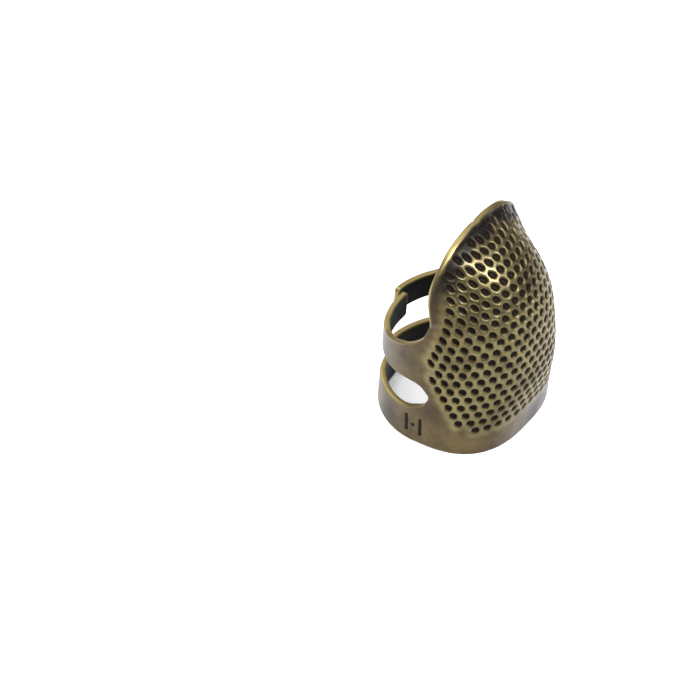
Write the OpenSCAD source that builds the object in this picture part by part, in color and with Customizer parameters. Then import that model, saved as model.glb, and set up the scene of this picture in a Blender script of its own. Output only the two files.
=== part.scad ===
// Adjustable finger-shield thimble: one stamped sheet with a dimpled front shield,
// a turned-out lip round its open edge, and two split bands that wrap the nail side.
// Front of the shield is -Y, the nail side is +Y and the fingertip end is +Z.
// The centre of the finger opening, on the resting plane, is the origin.

/* [Ring] */
// Half of the outer width at the base
ring_half_w = 9.2; // [8.8:0.05:9.8]
// Outer depth behind the centre at the base
ring_back = 8.88; // [8.4:0.02:9.4]
// How much the half width shrinks per millimetre of height
side_taper = 0.03; // [0:0.005:0.05]
// How much the back shrinks per millimetre of height
back_taper = 0.07; // [0.03:0.005:0.1]
// Thickness of the stamped sheet
sheet = 0.7; // [0.6:0.05:0.8]

/* [Shield] */
// Height from the resting plane to the top of the lip
height = 26; // [25.8:0.05:26.6]
// Half of the width across the lip
lip_half_w = 9.05; // [8.8:0.05:9.4]
// Height at which the lip is widest
lip_z = 18.5; // [18:0.25:19.5]
// Height at which the top edge of the upper band meets the lip
gusset_z = 17; // [16.6:0.1:17.4]

/* [Bands] */
// Height of the lower band where it bends
lower_top = 4.2; // [3.6:0.05:4.6]
// Bottom edge of the upper band where it bends
upper_bottom = 8.2; // [7.7:0.05:8.6]
// Top edge of the upper band where it bends
upper_top = 12.6; // [12.2:0.05:13]
// Angle from the front at which the bands bend
bend_angle = 108; // [106:1:110]
// Angle from the front at which the right arms end
right_tip = 181; // [178:1:183]
// Angle from the front at which the left arms end, tucked inside the right ones
left_tip = 182; // [179:1:184]

/* [Hidden] */

bronze = [0.56, 0.48, 0.31];

// Radii of the round end of an arm and of the groove that it turns in
pivot_r = 0.29;
groove_r = 0.36;
// Gap along the sheet between the hinge line and the flat part of an arm
root_gap = 0.16;
// How far the right tips stand out and the left tips are tucked in
tip_out = 0.45;
tip_in = 0.5;

// Angle from the front at which the shield proper ends and the band wings begin
wing_angle = 80;
// Blunt inner end of the window between the bands
window_low = 6.7;
window_high = 7.2;

// Outline tables: [height, value]. Depth of the shield in front of the centre
front_depth = [[0, 8.91], [3.2, 9.4], [8, 10.3], [12, 10.5], [15, 10.35], [17, 10], [19.5, 9], [21.5, 7.6],
    [23, 6], [23.9, 4.75], [24.5, 3.75], [25, 2.95], [25.5, 2.4], [height, 2.05]];
// Half width of the dome, without the lip
dome_half_w = [[10, ring_half_w - 10 * side_taper], [12, 8.82], [15, 8.55], [17, 8.15], [19, 7.5],
    [21, 6.6], [22.5, 5.6], [23.5, 4.8], [24.2, 4.2], [24.8, 3.7], [25.4, 2.9], [height, 0.8]];
// Squareness of the front: 2 is round, more is flatter with tighter corners
front_power = [[0, 2.7], [6, 2.5], [12, 2.3], [20, 2.05], [height, 2]];
// How far forward the dome's own centre moves
dome_shift = [[13, 0], [19, -1.7], [22.5, -2.3], [height, -1.97]];
// Angle round the dome that the shield covers on each side
dome_angle = [[13, wing_angle], [19, 84], [height, 84]];
// Front-to-back place of the lip's edge
lip_y = [[gusset_z, -1.6], [18, -1.82], [19, -1.74], [20.5, -1.55], [22, -1.55], [24, -1.85], [height, -1.95]];
// Fullness of the lip's arch: 2 is an ellipse, more is fuller
lip_power = 2.4;
// Share of the half section that lies inside the start of the lip's flare
flare_start = [[gusset_z, 0.8], [20, 0.72], [24, 0.65], [height, 0.55]];

// Edges of the bands: [angle from the front, height]
lower_edge = [[wing_angle, window_low], [83, 5.7], [91, 4.95], [100, lower_top + 0.2], [bend_angle, lower_top],
    [122, lower_top - 0.1], [200, lower_top]];
upper_low_edge = [[wing_angle, window_high], [86, 8.1], [94, upper_bottom + 0.15], [bend_angle, upper_bottom],
    [122, upper_bottom - 0.15], [200, upper_bottom - 0.2]];
upper_high_edge = [[wing_angle, gusset_z], [82.5, 15.9], [85, 15.1], [89, 14.35], [94, 13.75],
    [100, upper_top + 0.55], [bend_angle, upper_top], [116, upper_top - 0.55], [124, upper_top - 1],
    [134, upper_top - 1.25], [200, upper_top - 1.1]];
// Step of the right and left arms towards their tips: [degrees short of the tip, share of the step]
right_step = [[0, 1], [6, 1], [20, 0.6], [45, 0]];
left_step = [[0, 1], [5, 1], [22, 0.5], [38, 0]];

// Smooth curve through the points of a table
function span_of(x, t, i = 0) = (i >= len(t) - 2 || x < t[i + 1][0]) ? i : span_of(x, t, i + 1);
function slope_at(t, i) =
    let (a = max(i - 1, 0), b = min(i + 1, len(t) - 1)) (t[b][1] - t[a][1]) / (t[b][0] - t[a][0]);
function smooth(x, t) =
    x <= t[0][0] ? t[0][1] :
    x >= t[len(t) - 1][0] ? t[len(t) - 1][1] :
    let (
        i = span_of(x, t),
        h = t[i + 1][0] - t[i][0],
        u = (x - t[i][0]) / h
    )
    (2 * u^3 - 3 * u^2 + 1) * t[i][1] + (u^3 - 2 * u^2 + u) * h * slope_at(t, i)
    + (3 * u^2 - 2 * u^3) * t[i + 1][1] + (u^3 - u^2) * h * slope_at(t, i + 1);

// Point of a rounded-square section at an angle from the front
function oval(angle, half_w, front, back, power_front, shift) =
    let (
        depth = abs(angle) > 90 ? back : front,
        n = abs(angle) > 90 ? 2 : power_front,
        r = ((abs(cos(angle)) / depth)^n + (abs(sin(angle)) / half_w)^n)^(-1 / n)
    )
    [r * sin(angle), shift - r * cos(angle)];

// Outer face of the ring that the bands follow
function ring_at(angle, z) = oval(angle, ring_half_w - side_taper * z, smooth(z, front_depth),
    ring_back - back_taper * z, smooth(z, front_power), 0);

// Edge of the lip on the right side
function lip_half(z) =
    z > lip_z
    ? lip_half_w * max(0, 1 - ((z - lip_z) / (height + 0.03 - lip_z))^lip_power)^(1 / lip_power)
    : lip_half_w - 0.16 * (lip_z - z)^2;

// Outer face of the shield: side runs from -1 at the left edge to 1 at the right edge
function shield_at(side, z) =
    let (
        shift = smooth(z, dome_shift),
        half_w = z < 10 ? ring_half_w - side_taper * z : smooth(z, dome_half_w),
        front = smooth(z, front_depth) + shift,
        reach = smooth(z, dome_angle),
        n = smooth(z, front_power),
        dome = oval(side * reach, half_w, front, front, n, shift),
        dome_edge = oval(reach, half_w, front, front, n, shift),
        edge = z < gusset_z ? ring_at(wing_angle, z) : [lip_half(z), smooth(z, lip_y)],
        start = smooth(z, flare_start),
        flare = max(0, (abs(side) - start) / (1 - start))^2
    )
    dome + flare * [sign(side) * (edge[0] - dome_edge[0]), edge[1] - dome_edge[1]];

// Outer face anywhere on the sheet, by angle; past the wings it is the ring
function skin(angle, z) =
    abs(angle) <= wing_angle ? shield_at(angle / wing_angle, z) : ring_at(angle, z);

// Face of the sheet at a depth below its outer face, measured level
function across(angle, z) =
    abs(angle) <= wing_angle
    ? shield_at((angle + 0.5) / wing_angle, z) - shield_at((angle - 0.5) / wing_angle, z)
    : ring_at(angle + 0.5, z) - ring_at(angle - 0.5, z);
function level_normal(angle, z) =
    let (d = across(angle, z)) [d[1], -d[0]] / norm(d);
function sheet_point(angle, z, deep) =
    let (p = skin(angle, z) - deep * level_normal(angle, z)) [p[0], p[1], z];

// Closed sheet from a grid of outer and inner points; cell(i, j) says whether a cell exists
module sheet_from_grid(outer, inner, cells) {
    across = len(outer) - 1;
    up = len(outer[0]) - 1;
    total = (across + 1) * (up + 1);
    function id(i, j) = i * (up + 1) + j;
    function cell(i, j) = i >= 0 && j >= 0 && i < across && j < up && cells[i][j];
    function wall(a, b) = [[a, b, b + total], [a, b + total, a + total]];
    points = concat([for (column = outer) for (p = column) p], [for (column = inner) for (p = column) p]);
    faces = [
        for (i = [0 : across - 1])
            for (j = [0 : up - 1])
                if (cell(i, j))
                    let (a = id(i, j), b = id(i + 1, j), c = id(i + 1, j + 1), d = id(i, j + 1))
                    each concat(
                        [[a, c, b], [a, d, c]],
                        [[a + total, b + total, c + total], [a + total, c + total, d + total]],
                        cell(i, j - 1) ? [] : wall(a, b),
                        cell(i + 1, j) ? [] : wall(b, c),
                        cell(i, j + 1) ? [] : wall(c, d),
                        cell(i - 1, j) ? [] : wall(d, a)
                    )
    ];
    polyhedron(points, faces, convexity = 10);
}

// Columns and rows of the shield's grid
wing_columns = [for (k = [0 : 8]) bend_angle - k * (bend_angle - wing_angle) / 9];
main_cells = 40;
columns = concat(
    [for (angle = wing_columns) -angle],
    [for (k = [0 : main_cells]) -wing_angle + 2 * wing_angle * k / main_cells],
    [for (k = [8 : -1 : 0]) wing_columns[k]]
);
low_rows = 3;
high_rows = 6;
lip_rows = 20;
row_top = low_rows + 1 + high_rows;

// Height of a grid row at an angle: the rows fan out to follow the edges of the wings
function row_z(j, angle) =
    let (
        low = smooth(abs(angle), lower_edge),
        middle = smooth(abs(angle), upper_low_edge),
        high = smooth(abs(angle), upper_high_edge),
        lip = (j - row_top) / lip_rows
    )
    j <= low_rows ? low * j / low_rows :
    j <= row_top ? middle + (high - middle) * (j - low_rows - 1) / high_rows :
    gusset_z + (height - gusset_z) * sin(lip * 86) / sin(86);

function in_wing(i) = i < len(wing_columns) || i >= len(columns) - 1 - len(wing_columns);

// Line of a band's bend, at the middle of the sheet
function bend_point(side, z) = sheet_point(side * bend_angle, z, sheet / 2);

// Round bar along a bend, between two heights
module bend_bar(side, low, high, radius) {
    bottom = bend_point(side, low);
    line = bend_point(side, high) - bottom;
    translate(bottom)
        rotate([0, acos(line[2] / norm(line)), atan2(line[1], line[0])])
            cylinder(h = norm(line), r = radius, $fn = 48);
}

module shield() {
    color(bronze)
    difference() {
        sheet_from_grid(
            [for (angle = columns) [for (j = [0 : row_top + lip_rows]) sheet_point(angle, row_z(j, angle), 0)]],
            [for (angle = columns) [for (j = [0 : row_top + lip_rows]) sheet_point(angle, row_z(j, angle), sheet)]],
            [for (i = [0 : len(columns) - 2]) [for (j = [0 : row_top + lip_rows - 1])
                !in_wing(i) || (j < row_top && j != low_rows)]]
        );
        for (side = [-1, 1])
            bend_bar(side, -2, upper_top + 2, groove_r);
    }
}

// One arm of a band: side is -1 for left, 1 for right; the edges are tables by angle
module band_arm(side, low_edge, high_edge) {
    steps = 30;
    tip_angle = side > 0 ? right_tip : left_tip;
    step = side > 0 ? right_step : left_step;
    shift = side > 0 ? tip_out : -tip_in;
    start = bend_angle + atan(root_gap / ring_half_w);
    angles = [for (k = [0 : steps]) start + (tip_angle - start) * k / steps];
    order = side > 0 ? angles : [for (k = [steps : -1 : 0]) angles[k]];
    rows = [for (angle = order)
        [for (u = [0, 0.5, 1]) smooth(angle, low_edge) * (1 - u) + smooth(angle, high_edge) * u]];
    function arm_face(deep) = [for (k = [0 : steps]) [for (z = rows[k])
        sheet_point(side * order[k], z, deep - shift * smooth(tip_angle - order[k], step))]];
    root_low = smooth(bend_angle, low_edge);
    root_high = smooth(bend_angle, high_edge);
    color(bronze)
    union() {
        sheet_from_grid(arm_face(0), arm_face(sheet), [for (k = [1 : steps]) [true, true]]);
        bend_bar(side, root_low + 0.2, root_high - 0.2, pivot_r);
    }
}

resting_edge = [[0, 0], [200, 0]];

module upper_band_left() {
    band_arm(-1, upper_low_edge, upper_high_edge);
}

module upper_band_right() {
    band_arm(1, upper_low_edge, upper_high_edge);
}

module lower_band_left() {
    band_arm(-1, resting_edge, lower_edge);
}

module lower_band_right() {
    band_arm(1, resting_edge, lower_edge);
}

shield();
upper_band_left();
upper_band_right();
lower_band_left();
lower_band_right();
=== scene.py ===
import math

import bpy
import numpy as np
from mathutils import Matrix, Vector


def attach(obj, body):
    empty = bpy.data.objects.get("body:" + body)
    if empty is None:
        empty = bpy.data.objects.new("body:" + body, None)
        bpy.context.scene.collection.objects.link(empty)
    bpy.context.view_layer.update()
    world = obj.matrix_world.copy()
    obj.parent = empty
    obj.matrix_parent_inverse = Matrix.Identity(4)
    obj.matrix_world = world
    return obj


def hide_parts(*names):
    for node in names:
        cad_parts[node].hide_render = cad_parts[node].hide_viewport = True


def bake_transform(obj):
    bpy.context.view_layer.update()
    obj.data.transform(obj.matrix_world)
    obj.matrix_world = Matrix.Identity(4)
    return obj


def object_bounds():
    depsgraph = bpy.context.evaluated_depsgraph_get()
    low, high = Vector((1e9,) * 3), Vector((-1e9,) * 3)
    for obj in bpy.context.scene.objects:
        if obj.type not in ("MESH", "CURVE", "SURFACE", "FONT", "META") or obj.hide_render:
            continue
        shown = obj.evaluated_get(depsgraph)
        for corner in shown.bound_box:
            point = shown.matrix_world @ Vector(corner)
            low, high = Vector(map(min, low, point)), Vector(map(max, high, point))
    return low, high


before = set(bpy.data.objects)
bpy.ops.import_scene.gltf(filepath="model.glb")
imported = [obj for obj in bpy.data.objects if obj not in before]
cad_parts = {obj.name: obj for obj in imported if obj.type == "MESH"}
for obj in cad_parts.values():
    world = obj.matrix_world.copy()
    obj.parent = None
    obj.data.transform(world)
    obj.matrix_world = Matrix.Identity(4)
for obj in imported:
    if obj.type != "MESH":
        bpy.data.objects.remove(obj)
cad_low, cad_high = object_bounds()
cad_low, cad_high = list(cad_low), list(cad_high)

# ---------------------------------------------------------------- sizes, in millimetres
MM = 0.001
HEIGHT = cad_high[2] / MM
RING_HALF_W = cad_high[0] / MM
RING_BACK = 8.88
SIDE_TAPER = 0.03
BACK_TAPER = 0.07
SHEET = 0.7
LIP_HALF_W = 9.05
LIP_Z = 18.5
LIP_POWER = 2.4
GUSSET_Z = 17.0
WING_ANGLE = 80.0
SEAM_ANGLE = 100.0
BEND_ANGLE = 108.0
BEND_SPREAD = 7.0
WINDOW_LOW = 6.7
WINDOW_HIGH = 7.2
RIGHT_TIP = 181.0
LEFT_TIP = 182.0
TIP_OUT = 0.45
TIP_IN = 0.5
SKIN_INSET = 0.012
EDGE_ROUND = 0.17
TIP_ROUND = 0.55
STEP = 0.11

# Dimples: staggered rows that droop to the sides and open out a little towards the top
DIMPLE_RADIUS = 0.52
DIMPLE_DEPTH = 0.32
DIMPLE_ROWS = 21
FIRST_ROW = 4.6
ROW_GAP = 1.22
PITCH = 1.16
ROW_DROOP = 0.155
MORE_DROOP_EACH_ROW = 0.0085
DROOP_BLUNTNESS = 1.5
OPENING = 0.013
MORE_OPENING_EACH_ROW = 0.002
OPENING_GROWS_FROM = 7
DIMPLE_REACH = 1.5
DIMPLE_TO_EDGE = 0.12
DIMPLE_TO_LIP = 1.0
LIP_CLEAR_TOP = 22.3
PUNCH_DEPTH = 0.12
EDGE_WEAR = 0.12
ARM_EDGE_WEAR = 0.17
LIP_SETTLED = 18.8
LIP_TURNS_FROM = 24.0

# Outline tables: [height, value], as in the CAD sheet but for LIP_Y, which ends 0.1 further forward here
FRONT_DEPTH = [[0, 8.91], [3.2, 9.4], [8, 10.3], [12, 10.5], [15, 10.35], [17, 10], [19.5, 9], [21.5, 7.6],
               [23, 6], [23.9, 4.75], [24.5, 3.75], [25, 2.95], [25.5, 2.4], [HEIGHT, 2.05]]
DOME_HALF_W = [[10, RING_HALF_W - 10 * SIDE_TAPER], [12, 8.82], [15, 8.55], [17, 8.15], [19, 7.5],
               [21, 6.6], [22.5, 5.6], [23.5, 4.8], [24.2, 4.2], [24.8, 3.7], [25.4, 2.9], [HEIGHT, 0.8]]
FRONT_POWER = [[0, 2.7], [6, 2.5], [12, 2.3], [20, 2.05], [HEIGHT, 2]]
DOME_SHIFT = [[13, 0], [19, -1.7], [22.5, -2.3], [HEIGHT, -1.97]]
DOME_ANGLE = [[13, WING_ANGLE], [19, 84], [HEIGHT, 84]]
LIP_Y = [[GUSSET_Z, -1.6], [18, -1.82], [19, -1.74], [20.5, -1.55], [22, -1.55], [24, -1.87], [HEIGHT, -2.05]]
FLARE_START = [[GUSSET_Z, 0.8], [20, 0.72], [24, 0.65], [HEIGHT, 0.55]]

# Edges of the bands: [angle from the front, height]
RESTING_EDGE = [[0, 0], [200, 0]]
LOWER_EDGE = [[WING_ANGLE, WINDOW_LOW], [83, 5.7], [91, 4.95], [100, 4.4], [BEND_ANGLE, 4.2],
              [122, 4.1], [200, 4.2]]
UPPER_LOW_EDGE = [[WING_ANGLE, WINDOW_HIGH], [86, 8.1], [94, 8.35], [BEND_ANGLE, 8.2], [122, 8.05],
                  [200, 8.0]]
UPPER_HIGH_EDGE = [[WING_ANGLE, GUSSET_Z], [82.5, 15.9], [85, 15.1], [89, 14.35], [94, 13.75], [100, 13.15],
                   [BEND_ANGLE, 12.6], [116, 12.05], [124, 11.6], [134, 11.35], [200, 11.5]]
RIGHT_STEP = [[0, 1], [6, 1], [20, 0.6], [45, 0]]
LEFT_STEP = [[0, 1], [5, 1], [22, 0.5], [38, 0]]

# Number of half pitches out from the middle that each dimple row reaches
ROW_REACH = [13, 16, 17, 18, 19, 20, 21, 20, 21, 20, 19, 18, 17, 16, 17, 16, 15, 14, 13, 8, 5]


# ---------------------------------------------------------------- the sheet's shape
def smooth(x, table):
    """Smooth curve through the points of a table."""
    t = np.asarray(table, float)
    at, value = t[:, 0], t[:, 1]
    slope = np.gradient(value)
    slope[1:-1] = (value[2:] - value[:-2]) / (at[2:] - at[:-2])
    slope[0] = (value[1] - value[0]) / (at[1] - at[0])
    slope[-1] = (value[-1] - value[-2]) / (at[-1] - at[-2])
    x = np.clip(np.asarray(x, float), at[0], at[-1])
    i = np.clip(np.searchsorted(at, x, side="right") - 1, 0, len(at) - 2)
    h = at[i + 1] - at[i]
    u = (x - at[i]) / h
    return ((2 * u**3 - 3 * u**2 + 1) * value[i] + (u**3 - 2 * u**2 + u) * h * slope[i]
            + (3 * u**2 - 2 * u**3) * value[i + 1] + (u**3 - u**2) * h * slope[i + 1])


def oval(angle, half_w, front, back, power_front, shift):
    """Point of a rounded-square section at an angle from the front."""
    c, s = np.cos(np.radians(angle)), np.sin(np.radians(angle))
    rear = np.abs(angle) > 90
    depth = np.where(rear, back, front)
    n = np.where(rear, 2.0, power_front)
    r = ((np.abs(c) / depth)**n + (np.abs(s) / half_w)**n)**(-1 / n)
    return np.stack([r * s, shift - r * c], -1)


def ring_at(angle, z):
    return oval(angle, RING_HALF_W - SIDE_TAPER * z, smooth(z, FRONT_DEPTH), RING_BACK - BACK_TAPER * z,
                smooth(z, FRONT_POWER), 0)


def lip_half(z):
    rise = np.clip((z - LIP_Z) / (HEIGHT + 0.03 - LIP_Z), 0, 1)
    return np.where(z > LIP_Z, LIP_HALF_W * (1 - rise**LIP_POWER)**(1 / LIP_POWER),
                    LIP_HALF_W - 0.16 * (LIP_Z - z)**2)


def shield_at(side, z):
    """Outer face of the shield: side runs from -1 at the left edge to 1 at the right edge."""
    shift = smooth(z, DOME_SHIFT)
    half_w = np.where(z < 10, RING_HALF_W - SIDE_TAPER * z, smooth(z, DOME_HALF_W))
    front = smooth(z, FRONT_DEPTH) + shift
    reach = smooth(z, DOME_ANGLE)
    n = smooth(z, FRONT_POWER)
    dome = oval(side * reach, half_w, front, front, n, shift)
    dome_edge = oval(reach, half_w, front, front, n, shift)
    lip = np.stack([lip_half(z), smooth(z, LIP_Y)], -1)
    edge = np.where((z < GUSSET_Z)[..., None], ring_at(np.full(z.shape, WING_ANGLE), z), lip)
    start = smooth(z, FLARE_START)
    flare = np.maximum(0, (np.abs(side) - start) / (1 - start))**2
    move = edge - dome_edge
    return dome + flare[..., None] * np.stack([np.sign(side) * move[..., 0], move[..., 1]], -1)


def skin(angle, z):
    main = shield_at(np.clip(angle / WING_ANGLE, -1, 1), z)
    return np.where((np.abs(angle) <= WING_ANGLE)[..., None], main, ring_at(angle, z))


def level_normal(angle, z):
    """Outward direction of the sheet, measured level."""
    main = shield_at((angle + 0.5) / WING_ANGLE, z) - shield_at((angle - 0.5) / WING_ANGLE, z)
    ring = ring_at(angle + 0.5, z) - ring_at(angle - 0.5, z)
    across = np.where((np.abs(angle) <= WING_ANGLE)[..., None], main, ring)
    out = np.stack([across[..., 1], -across[..., 0]], -1)
    return out / np.linalg.norm(out, axis=-1, keepdims=True)


def lift(flat, z):
    return np.concatenate([flat, z[..., None]], -1)


def ease(x, low, high):
    t = np.clip((x - low) / (high - low), 0, 1)
    return t * t * (3 - 2 * t)


def rounded(distance, radius):
    """How far the face drops at a distance from an edge that is rounded with that radius."""
    short = np.clip(radius - distance, 0, radius)
    return radius - np.sqrt(radius**2 - short**2)


def spread(low, high, step):
    """Positions between two edges, closer together near both."""
    fine = np.array([0, 0.03, 0.08, 0.15])
    inner = np.linspace(low + 0.15, high - 0.15, max(2, int(round((high - low - 0.3) / step)) + 1))
    return np.concatenate([low + fine[:-1], inner, (high - fine[:-1])[::-1]])


# ---------------------------------------------------------------- meshes
def seam_normals(face, out, column):
    """Outward directions down one seam column, the same on both pieces that meet there."""
    upward = np.gradient(face[column], axis=0)
    level = np.stack([-out[column, :, 1], out[column, :, 0], np.zeros(len(upward))], -1)
    normal = np.cross(level, upward)
    return normal / np.linalg.norm(normal, axis=-1, keepdims=True)


def sheet_mesh(name, outer, inner, cells, marks, out, flat_first=False, flat_last=False):
    """Closed sheet from a grid of outer and inner points, in millimetres.
    marks holds one (outer values, inner values) pair for each named surface mark."""
    across, up = outer.shape[0], outer.shape[1]
    total = across * up
    ids = np.arange(total).reshape(across, up)
    pad = np.zeros((across + 1, up + 1), bool)
    pad[1:-1, 1:-1] = cells
    here = pad[1:-1, 1:-1]
    a, b, c, d = ids[:-1, :-1], ids[1:, :-1], ids[1:, 1:], ids[:-1, 1:]
    quads = [np.stack([a[here], b[here], c[here], d[here]], 1),
             np.stack([d[here], c[here], b[here], a[here]], 1) + total]
    flats = [np.zeros(len(quads[0]), bool), np.zeros(len(quads[1]), bool)]
    below, above = here & ~pad[1:-1, :-2], here & ~pad[1:-1, 2:]
    left, right = here & ~pad[:-2, 1:-1], here & ~pad[2:, 1:-1]
    for mask, p, q in ((below, b, a), (right, c, b), (above, d, c), (left, a, d)):
        quads.append(np.stack([p[mask], q[mask], q[mask] + total, p[mask] + total], 1))
        column = np.broadcast_to(np.arange(across - 1)[:, None], mask.shape)[mask]
        at_first = (mask is left) & flat_first & (column == 0)
        at_last = (mask is right) & flat_last & (column == across - 2)
        end = at_first | at_last
        flats.append(np.asarray(end, bool))
    quads = np.concatenate(quads)
    flats = np.concatenate(flats)
    points = np.concatenate([outer.reshape(-1, 3), inner.reshape(-1, 3)]) * MM
    used = np.unique(quads)
    renumber = np.full(2 * total, -1)
    renumber[used] = np.arange(len(used))
    quads = renumber[quads]
    mesh = bpy.data.meshes.new(name)
    mesh.vertices.add(len(used))
    mesh.vertices.foreach_set("co", points[used].ravel())
    mesh.loops.add(quads.size)
    mesh.loops.foreach_set("vertex_index", quads.ravel())
    mesh.polygons.add(len(quads))
    mesh.polygons.foreach_set("loop_start", np.arange(0, quads.size, 4))
    mesh.polygons.foreach_set("loop_total", np.full(len(quads), 4))
    mesh.polygons.foreach_set("use_smooth", ~flats)
    mesh.update(calc_edges=True)
    mesh.validate()
    for mark, (outside, inside) in marks.items():
        values = np.concatenate([outside.ravel(), inside.ravel()])[used]
        mesh.attributes.new(mark, "FLOAT", "POINT").data.foreach_set("value", values.astype(np.float32))
    normals = np.empty(len(used) * 3, np.float32)
    mesh.vertices.foreach_get("normal", normals)
    normals = normals.reshape(-1, 3)
    for is_seam, column in ((flat_first, 0), (flat_last, across - 1)):
        if is_seam:
            for face, first, sign in ((outer, 0, 1), (inner, total, -1)):
                found = renumber[first + ids[column]]
                there = found >= 0
                normals[found[there]] = sign * seam_normals(face, out, column)[there]
    mesh.normals_split_custom_set_from_vertices(normals)
    piece = bpy.data.objects.new(name, mesh)
    bpy.context.scene.collection.objects.link(piece)
    return piece


def dimple_centres():
    """(out from the middle, up from the base) of every dimple, along the sheet."""
    centres = []
    for row in range(DIMPLE_ROWS):
        droop = ROW_DROOP + MORE_DROOP_EACH_ROW * row
        opening = OPENING + MORE_OPENING_EACH_ROW * max(0, row - OPENING_GROWS_FROM)
        for half in range(-ROW_REACH[row], ROW_REACH[row] + 1, 2):
            m = half / 2
            u = math.copysign(PITCH * abs(m) + opening * m * m, m)
            v = FIRST_ROW + ROW_GAP * row - droop * (math.hypot(u, DROOP_BLUNTNESS) - DROOP_BLUNTNESS)
            centres.append((u, v))
    return centres


def chart(angles, points, z):
    """Distances out from the middle and up from the base, along the sheet, for a grid of surface points."""
    step = np.linalg.norm(np.diff(points, axis=1), axis=-1)
    climb = np.concatenate([np.zeros((len(angles), 1)), np.cumsum(step, 1)], 1)
    middle = len(angles) // 2
    total = climb[middle, -1]
    v = climb * (total / climb[:, -1:])
    levels = np.linspace(0, total, 300)
    lines = np.stack([np.stack([np.interp(levels, v[i], points[i, :, c]) for c in range(3)], -1)
                      for i in range(len(angles))])
    gap = np.linalg.norm(np.diff(lines, axis=0), axis=-1)
    out = np.concatenate([np.zeros((1, len(levels))), np.cumsum(gap, 0)], 0)
    out -= out[middle]
    u = np.stack([np.interp(v[i], levels, out[i]) for i in range(len(angles))])
    edge = np.stack([np.interp(v[i], levels, out[-1]) for i in range(len(angles))])
    return u, v, edge - np.abs(u), total - v


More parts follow.
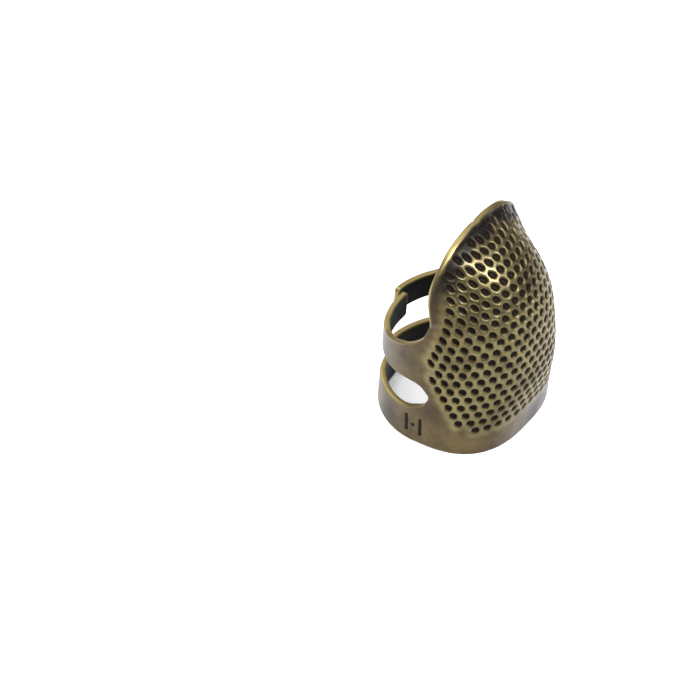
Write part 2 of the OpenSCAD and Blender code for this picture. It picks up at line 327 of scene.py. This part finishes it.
def build_shield():
    degree = 1 / (RING_HALF_W * math.pi / 180)
    half_main = spread(0, WING_ANGLE / degree, STEP) * degree
    half_main = half_main[3:]
    half_main = half_main - half_main[0] * (1 - half_main / WING_ANGLE)
    half_wing = np.linspace(WING_ANGLE, SEAM_ANGLE, 30)[1:]
    right_side = np.concatenate([half_main[1:], half_wing])
    angles = np.concatenate([-right_side[::-1], [0], right_side])
    low_rows = spread(0, WINDOW_LOW, STEP)
    gap_rows = np.linspace(WINDOW_LOW, WINDOW_HIGH, 7)[1:-1]
    high_rows = spread(WINDOW_HIGH, GUSSET_Z, STEP)
    fine = np.linspace(GUSSET_Z, HEIGHT, 3000)
    steepness = np.hypot(np.gradient(smooth(fine, FRONT_DEPTH), fine), 1)
    climb = np.concatenate([[0], np.cumsum((steepness[1:] + steepness[:-1]) / 2 * np.diff(fine))])
    lip_rows = np.interp(spread(0, climb[-1], STEP), climb, fine)[1:]
    grid_a = np.broadcast_to(angles[:, None], (len(angles), len(low_rows) + len(gap_rows) + len(high_rows)
                                               + len(lip_rows))).copy()
    wing = np.clip(np.abs(angles), WING_ANGLE, None)[:, None]
    low_top = smooth(wing, LOWER_EDGE)
    high_low = smooth(wing, UPPER_LOW_EDGE)
    high_top = smooth(wing, UPPER_HIGH_EDGE)
    part_low = low_rows[None] / WINDOW_LOW * low_top
    share = (high_rows[None] - WINDOW_HIGH) / (GUSSET_Z - WINDOW_HIGH)
    part_high = high_low + share * (high_top - high_low)
    ones = np.ones((len(angles), 1))
    grid_z = np.concatenate([part_low, gap_rows[None] * ones, part_high, lip_rows[None] * ones], 1)
    low_end = len(low_rows) - 1
    high_start = low_end + len(gap_rows) + 1
    high_end = high_start + len(high_rows) - 1

    in_wing = np.abs(grid_a) > WING_ANGLE + 1e-6
    base = lift(skin(grid_a, grid_z), grid_z)
    out = level_normal(grid_a, grid_z)
    out = lift(out, np.zeros(grid_z.shape))
    turn = ease(grid_z, LIP_TURNS_FROM, HEIGHT)[..., None]
    out = out * (1 - turn) + np.array([0.0, -1.0, 0.0]) * turn
    below_lip = np.arange(grid_z.shape[1]) <= high_end
    settle = (ease(grid_z, GUSSET_Z, LIP_SETTLED) + below_lip).clip(0, 1)[..., None]
    out = out * settle + out[:, high_end][:, None] * (1 - settle)
    out /= np.linalg.norm(out, axis=-1, keepdims=True)

    # distance from every point to the sheet's edges
    main = np.abs(angles) <= WING_ANGLE + 1e-6
    u, v = np.full(grid_z.shape, 99.0), np.full(grid_z.shape, 99.0)
    to_side, to_top = np.full(grid_z.shape, 9.0), np.full(grid_z.shape, 9.0)
    u[main], v[main], to_side[main], to_top[main] = chart(angles[main], base[main], grid_z[main])
    rows = np.arange(grid_z.shape[1])[None]
    sheet_rows = (rows[0] <= low_end) | ((rows[0] >= high_start) & (rows[0] <= high_end))
    first, last = np.flatnonzero(main)[[0, -1]]
    for edge_at, sign, beyond in ((first, -1, np.arange(first)), (last, 1, np.arange(last + 1, len(angles)))):
        arc = (np.abs(angles[beyond]) - WING_ANGLE)[:, None] / degree
        place = np.ix_(beyond, np.flatnonzero(sheet_rows))
        u[place] = u[edge_at, sheet_rows] + sign * arc
        v[place] = v[edge_at, sheet_rows] + grid_z[place] - grid_z[edge_at, sheet_rows]
    away = np.maximum(0, (WING_ANGLE - np.abs(grid_a)) / degree)
    window = np.hypot(away, np.maximum(0, np.maximum(WINDOW_LOW - grid_z, grid_z - WINDOW_HIGH)))
    corner = np.hypot(away, np.maximum(0, GUSSET_Z - grid_z))
    to_edge = grid_z.copy()
    to_edge = np.where(in_wing & (rows <= low_end), np.minimum(to_edge, low_top - grid_z), to_edge)
    to_band_edge = np.minimum(grid_z - high_low, high_top - grid_z)
    to_edge = np.where(in_wing & (rows >= high_start), to_band_edge, to_edge)
    to_edge = np.where(in_wing, to_edge, np.minimum(to_edge, np.minimum(window, corner)))
    in_lip = ~in_wing & (grid_z >= GUSSET_Z)
    to_edge = np.where(in_lip, np.minimum(to_side, to_top), to_edge)
    to_edge = np.maximum(to_edge, 0)

    # dimples, pressed straight into the sheet
    pressed = np.zeros(grid_z.shape)
    field = np.zeros(grid_z.shape)
    for cu, cv in dimple_centres():
        near = (np.abs(u - cu) < DIMPLE_REACH) & (np.abs(v - cv) < DIMPLE_REACH)
        distance = np.hypot(u[near] - cu, v[near] - cv)
        if not near.any():
            continue
        beside_lip = GUSSET_Z - 1 < grid_z[near].mean() < LIP_CLEAR_TOP
        needed = DIMPLE_TO_LIP if beside_lip else DIMPLE_TO_EDGE
        if to_edge[near][distance < DIMPLE_RADIUS * 1.1].min(initial=needed) < needed:
            continue
        pressed[near] = np.maximum(pressed[near], 1 - ease(distance / DIMPLE_RADIUS, 0.5, 1.05))
        field[near] = np.maximum(field[near], 1 - ease(distance, 0.6, 1.5))
    along = np.gradient(base, axis=0)
    upward = np.gradient(base, axis=1)
    square = np.cross(along, upward)
    square /= np.linalg.norm(square, axis=-1, keepdims=True) + 1e-12
    flat = (np.abs(np.diff(grid_z, axis=1, append=grid_z[:, -1:] + 1)) < 1e-9)[..., None]
    square = np.where(flat | in_wing[..., None], out, square)

    # generic punched size mark on the left wing: two short bars with a dot between them
    punched = np.zeros(grid_z.shape)
    arc = np.where(grid_a < -WING_ANGLE, (np.abs(grid_a) - WING_ANGLE) / degree, -9)
    for at, low, high in ((0.85, 1.35, 3.35), (1.75, 2.35, 2.35), (2.65, 1.35, 3.35)):
        reach = np.hypot(arc - at, np.maximum(0, np.maximum(low - grid_z, grid_z - high)))
        punched = np.maximum(punched, (1 - ease(reach, 0.1, 0.27)) * (rows <= low_end))

    drop = rounded(to_edge, EDGE_ROUND)
    outer = base - out * (SKIN_INSET + drop)[..., None]
    outer -= square * (pressed * DIMPLE_DEPTH + punched * PUNCH_DEPTH)[..., None]
    inner = base - out * (SHEET - drop)[..., None]
    inner -= square * (pressed * DIMPLE_DEPTH * 0.55)[..., None]
    middle_a = (np.abs(angles[1:]) + np.abs(angles[:-1])) / 2
    cell_wing = (middle_a > WING_ANGLE)[:, None]
    cell_row = np.arange(grid_z.shape[1] - 1)[None]
    solid = ~cell_wing | (cell_row < low_end) | ((cell_row >= high_start) & (cell_row < high_end))
    edge = np.exp(-(to_edge / EDGE_WEAR)**2)
    near_lip = np.minimum(to_side, to_top)
    # painted shade: darkens the concave valley between the dome and the raised lip
    valley_painted_shade = ease(near_lip, 0.2, 0.5) * (1 - ease(near_lip, 1.5, 3.2)) * ease(grid_z, 20.0, 22.5) * ~in_wing
    zero = np.zeros(grid_z.shape)
    marks = {"edge": (edge, edge), "hollow": (np.maximum(pressed, punched), zero),
             "valley_painted_shade": (valley_painted_shade, zero), "field": (field, zero), "inside": (zero, zero + 1)}
    return sheet_mesh("thimble_shield", outer, inner, solid, marks, out, True, True)


def build_arm(name, side, low_edge, high_edge):
    """One arm of a band, from the seam in front of its bend to its tip."""
    tip = RIGHT_TIP if side > 0 else LEFT_TIP
    table = RIGHT_STEP if side > 0 else LEFT_STEP
    shift = TIP_OUT if side > 0 else -TIP_IN
    degree = math.degrees(1 / RING_HALF_W)
    length = (tip - SEAM_ANGLE) / degree
    places = np.concatenate([np.arange(0, length - 1, 0.25), length - 1 + spread(0, 1, 0.1)[3:]])
    angles = SEAM_ANGLE + np.unique(np.round(places, 5)) * degree
    if side < 0:
        angles = angles[::-1]
    lowest, highest = (0, WINDOW_LOW) if low_edge is RESTING_EDGE else (WINDOW_HIGH, GUSSET_Z)
    share = (spread(lowest, highest, STEP) - lowest) / (highest - lowest)
    low = smooth(angles, low_edge)[:, None]
    high = smooth(angles, high_edge)[:, None]
    to_tip = ((tip - angles) / degree)[:, None]
    pinch = rounded(to_tip, TIP_ROUND)
    grid_z = (low + pinch) + share[None] * (high - low - 2 * pinch)
    grid_a = side * np.broadcast_to(angles[:, None], grid_z.shape)
    to_edge = np.minimum(np.minimum(grid_z - low - pinch, high - pinch - grid_z), to_tip)
    to_edge = np.maximum(to_edge, 0)
    base = lift(ring_at(grid_a, grid_z), grid_z)
    out = lift(level_normal(grid_a, grid_z), np.zeros(grid_z.shape))
    step = (shift * smooth(tip - angles, table))[:, None, None]
    drop = rounded(to_edge, EDGE_ROUND)
    outer = base - out * ((SKIN_INSET + drop)[..., None] - step)
    inner = base - out * ((SHEET - drop)[..., None] - step)
    zero = np.zeros(grid_z.shape)
    edge = np.exp(-(to_edge / ARM_EDGE_WEAR)**2)
    marks = {"edge": (edge, edge), "hollow": (zero, zero), "valley_painted_shade": (zero, zero), "field": (zero, zero),
             "inside": (zero, zero + 1)}
    solid = np.ones((grid_z.shape[0] - 1, grid_z.shape[1] - 1), bool)
    return sheet_mesh(name, outer, inner, solid, marks, out, side > 0, side < 0)


def bend_place(side, angle, z):
    """Middle of the sheet at an angle round a band, in metres."""
    around, height = np.array(side * angle), np.array(z)
    flat = ring_at(around, height) - level_normal(around, height) * SHEET / 2
    return (flat[0] * MM, flat[1] * MM, z * MM)


# ---------------------------------------------------------------- materials
def bronze_material():
    """Antique bronze: mottled, dark in the hollows, worn bright on edges and ridges; painted shade makes the
    inner faces and the valley beside the lip dark.
    """
    material = bpy.data.materials.new("bronze")
    material.use_nodes = True
    nodes, links = material.node_tree.nodes, material.node_tree.links
    nodes.clear()
    output = nodes.new("ShaderNodeOutputMaterial")
    metal = nodes.new("ShaderNodeBsdfPrincipled")
    links.new(metal.outputs["BSDF"], output.inputs["Surface"])
    place = nodes.new("ShaderNodeTexCoord")

    def mark(name):
        node = nodes.new("ShaderNodeAttribute")
        node.attribute_name = name
        return node.outputs["Fac"]

    def noise(scale, detail, rough=0.55):
        node = nodes.new("ShaderNodeTexNoise")
        node.inputs["Scale"].default_value = scale
        node.inputs["Detail"].default_value = detail
        node.inputs["Roughness"].default_value = rough
        links.new(place.outputs["Object"], node.inputs["Vector"])
        return node.outputs["Fac"]

    def between(value, low, high, to_low=0.0, to_high=1.0):
        node = nodes.new("ShaderNodeMapRange")
        node.inputs["From Min"].default_value = low
        node.inputs["From Max"].default_value = high
        node.inputs["To Min"].default_value = to_low
        node.inputs["To Max"].default_value = to_high
        links.new(value, node.inputs["Value"])
        return node.outputs["Result"]

    def math_node(kind, first, second):
        node = nodes.new("ShaderNodeMath")
        node.operation = kind
        for socket, value in zip(node.inputs, (first, second)):
            if isinstance(value, (int, float)):
                socket.default_value = value
            else:
                links.new(value, socket)
        return node.outputs["Value"]

    def blend_colour(share, first, second):
        node = nodes.new("ShaderNodeMix")
        node.data_type = "RGBA"
        links.new(share, node.inputs["Factor"])
        for socket, value in ((node.inputs[6], first), (node.inputs[7], second)):
            if isinstance(value, tuple):
                socket.default_value = (*value, 1)
            else:
                links.new(value, socket)
        return node.outputs[2]

    cloud = noise(170, 5)
    speck = noise(1400, 4, 0.65)
    patch = noise(420, 6, 0.6)
    plain = blend_colour(between(cloud, 0.38, 0.62), (0.08, 0.058, 0.024), (0.034, 0.024, 0.012))
    ridge = blend_colour(between(cloud, 0.3, 0.7), (0.155, 0.128, 0.054), (0.085, 0.066, 0.026))
    colour = blend_colour(mark("field"), plain, ridge)
    colour = blend_colour(between(patch, 0.48, 0.68, 0, 0.7), colour, (0.036, 0.022, 0.011))
    colour = blend_colour(between(speck, 0.58, 0.75, 0, 0.4), colour, (0.045, 0.032, 0.018))
    # painted shade in the valley beside the lip, broken up a little by the patch noise
    valley_painted_shade = math_node("MULTIPLY", mark("valley_painted_shade"), between(patch, 0.3, 0.6, 0.8, 1.0))
    colour = blend_colour(valley_painted_shade, colour, (0.014, 0.012, 0.01))
    hollow = between(mark("hollow"), 0.05, 0.6)
    colour = blend_colour(hollow, colour, (0.012, 0.008, 0.005))
    # painted shade: the inner faces of the sheet made almost black
    colour = blend_colour(mark("inside"), colour, (0.006, 0.006, 0.005))
    worn = math_node("MULTIPLY", mark("edge"), between(cloud, 0.25, 0.6, 0.6, 1.0))
    colour = blend_colour(worn, colour, (0.26, 0.2, 0.08))
    links.new(colour, metal.inputs["Base Color"])
    metal.inputs["Metallic"].default_value = 0.92
    rough = math_node("ADD", between(patch, 0.3, 0.7, 0.3, 0.42), math_node("MULTIPLY", hollow, 0.3))
    rough = math_node("ADD", rough, math_node("MULTIPLY", mark("inside"), 0.25))
    links.new(rough, metal.inputs["Roughness"])
    bump = nodes.new("ShaderNodeBump")
    bump.inputs["Strength"].default_value = 0.22
    bump.inputs["Distance"].default_value = 0.00008
    links.new(math_node("ADD", patch, speck), bump.inputs["Height"])
    links.new(bump.outputs["Normal"], metal.inputs["Normal"])
    return material


def floor_material():
    """Plain pale ground."""
    material = bpy.data.materials.new("pale_floor")
    material.use_nodes = True
    shader = material.node_tree.nodes["Principled BSDF"]
    shader.inputs["Base Color"].default_value = (0.93, 0.93, 0.94, 1)
    shader.inputs["Roughness"].default_value = 0.85
    shader.inputs["Specular IOR Level"].default_value = 0.1
    return material


# ---------------------------------------------------------------- the object
bronze = bronze_material()
shield = build_shield()
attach(shield, "shield")
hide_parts("shield")
pieces = [shield]
BANDS = (("upper", UPPER_LOW_EDGE, UPPER_HIGH_EDGE, 10.0), ("lower", RESTING_EDGE, LOWER_EDGE, 2.1))
for level, low_edge, high_edge, z in BANDS:
    for hand, side in (("left", -1), ("right", 1)):
        arm = build_arm(f"{level}_arm_{hand}", side, low_edge, high_edge)
        bend_place(side, BEND_ANGLE - BEND_SPREAD, z)
        bend_place(side, BEND_ANGLE + BEND_SPREAD, z)
        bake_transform(arm)
        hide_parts(f"{level}_band_{hand}")
        pieces.append(arm)
for piece in pieces:
    piece.data.materials.append(bronze)
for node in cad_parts.values():
    node.data.materials.clear()
    node.data.materials.append(bronze)

# ---------------------------------------------------------------- floor, lights, camera
bpy.ops.mesh.primitive_plane_add(size=0.5, location=(0, 0, cad_low[2] - 0.00002))
floor = bpy.context.object
floor.name = "floor"
floor.data.materials.append(floor_material())

scene = bpy.context.scene
scene.view_settings.view_transform = "Standard"
scene.view_settings.look = "None"
scene.view_settings.exposure = 0
world = bpy.data.worlds.new("studio")
scene.world = world
world.use_nodes = True
sky, sky_links = world.node_tree.nodes, world.node_tree.links
sky_place = sky.new("ShaderNodeTexCoord")
sky_split = sky.new("ShaderNodeSeparateXYZ")
sky_ramp = sky.new("ShaderNodeValToRGB")
sky_links.new(sky_place.outputs["Generated"], sky_split.inputs["Vector"])
sky_links.new(sky_split.outputs["Z"], sky_ramp.inputs["Fac"])
sky_links.new(sky_ramp.outputs["Color"], sky["Background"].inputs["Color"])
sky_ramp.color_ramp.elements[0].position = 0.0
sky_ramp.color_ramp.elements[0].color = (0.03, 0.027, 0.025, 1)
sky_ramp.color_ramp.elements[1].position = 0.72
sky_ramp.color_ramp.elements[1].color = (0.97, 0.97, 1.0, 1)
middle = sky_ramp.color_ramp.elements.new(0.33)
middle.color = (0.12, 0.11, 0.11, 1)
sky["Background"].inputs["Strength"].default_value = 1.15


def soft_light(name, azimuth, elevation, distance, size, power, colour=(1, 1, 1)):
    """Square soft light that looks at the middle of the thimble; azimuth 0 is straight in front."""
    middle = Vector((0, 0, HEIGHT * MM / 2))
    a, e = math.radians(azimuth), math.radians(elevation)
    toward = Vector((math.sin(a) * math.cos(e), -math.cos(a) * math.cos(e), math.sin(e)))
    lamp = bpy.data.lights.new(name, "AREA")
    lamp.size = size
    lamp.energy = power
    lamp.color = colour
    holder = bpy.data.objects.new(name, lamp)
    holder.location = middle + toward * distance
    holder.rotation_euler = toward.to_track_quat("Z", "Y").to_euler()
    scene.collection.objects.link(holder)


soft_light("key", 4, 43, 0.6, 0.14, 4.6, (0.9, 0.95, 1.12))
soft_light("overhead", -70, 78, 0.7, 0.5, 6.0)
soft_light("back", 160, 45, 0.8, 0.4, 2.4)

AIM = Vector((0.18, 16.0, 0.0)) * MM
azimuth, elevation, distance = math.radians(-56.35), math.radians(42), 0.752
toward = Vector((math.sin(azimuth) * math.cos(elevation), -math.cos(azimuth) * math.cos(elevation),
                 math.sin(elevation)))
lens = bpy.data.cameras.new("camera")
lens.sensor_width = 36
lens.lens = 359.4
lens.clip_start = 0.01
camera = bpy.data.objects.new("camera", lens)
camera.location = AIM + toward * distance
camera.rotation_euler = toward.to_track_quat("Z", "Y").to_euler()
scene.collection.objects.link(camera)
scene.camera = camera
